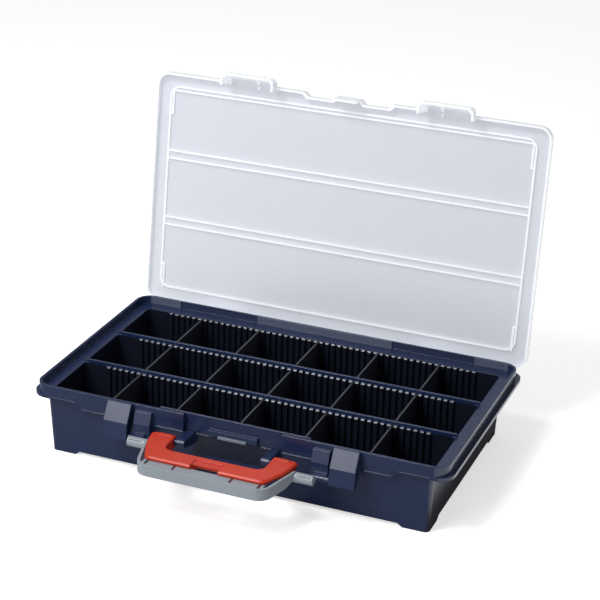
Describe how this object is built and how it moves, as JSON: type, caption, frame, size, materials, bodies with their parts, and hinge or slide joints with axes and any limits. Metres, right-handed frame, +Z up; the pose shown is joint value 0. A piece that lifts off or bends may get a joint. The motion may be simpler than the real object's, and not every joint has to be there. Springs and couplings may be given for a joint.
{
  "type": "parts organiser case",
  "caption": "Open plastic parts organiser case with eighteen compartments, clear hinged lid, two front latches and a folding red and grey handle.",
  "frame": {"origin": "on the tub's flat underside, below the middle of the rim; the four corner feet reach 3.8 mm lower", "axes": "+X to the right along the long front, +Y to the hinged back, +Z up"},
  "size_m": [0.474, 0.4063, 0.3545],
  "materials": {
    "navy": "satin moulded polypropylene",
    "clear": "glossy, slightly cloudy clear moulding",
    "red": "satin",
    "grey": "smooth",
    "divider": "satin",
    "steel": "bright wire"
  },
  "bodies": {
    "case": {"tub": "navy", "hinge_pin_left": "steel", "hinge_pin_right": "steel", "latch_pin_left": "steel", "latch_pin_right": "steel", "divider_front_1": "divider", "divider_front_2": "divider", "divider_front_3": "divider", "divider_front_4": "divider", "divider_front_5": "divider", "divider_middle_1": "divider", "divider_middle_2": "divider", "divider_middle_3": "divider", "divider_middle_4": "divider", "divider_middle_5": "divider", "divider_rear_1": "divider", "divider_rear_2": "divider", "divider_rear_3": "divider", "divider_rear_4": "divider", "divider_rear_5": "divider"},
    "cover": {"lid": "clear"},
    "left_lever": {"latch_left": "navy"},
    "right_lever": {"latch_right": "navy"},
    "grip": {"handle_grip": "red"},
    "outer_frame": {"handle_frame": "grey"}
  },
  "joints": [
    {"name": "lid_hinge", "type": "hinge", "parent": "case", "child": "cover", "pos_m": [0, 0.138, 0.0638], "axis": [1, 0, 0], "range_deg": [0, 98]},
    {"name": "latch_left", "type": "hinge", "parent": "case", "child": "left_lever", "pos_m": [-0.12775, -0.144, 0.0424], "axis": [1, 0, 0], "range_deg": [0, 100]},
    {"name": "latch_right", "type": "hinge", "parent": "case", "child": "right_lever", "pos_m": [0.12775, -0.144, 0.0424], "axis": [1, 0, 0], "range_deg": [0, 100]},
    {"name": "handle", "type": "hinge", "parent": "case", "child": "grip", "pos_m": [0, -0.1535, 0.054], "axis": [1, 0, 0], "range_deg": [-90, 35]},
    {"name": "frame", "type": "hinge", "parent": "grip", "child": "outer_frame", "pos_m": [0, -0.163, 0.0495], "axis": [1, 0, 0], "range_deg": [0, 20]}
  ]
}
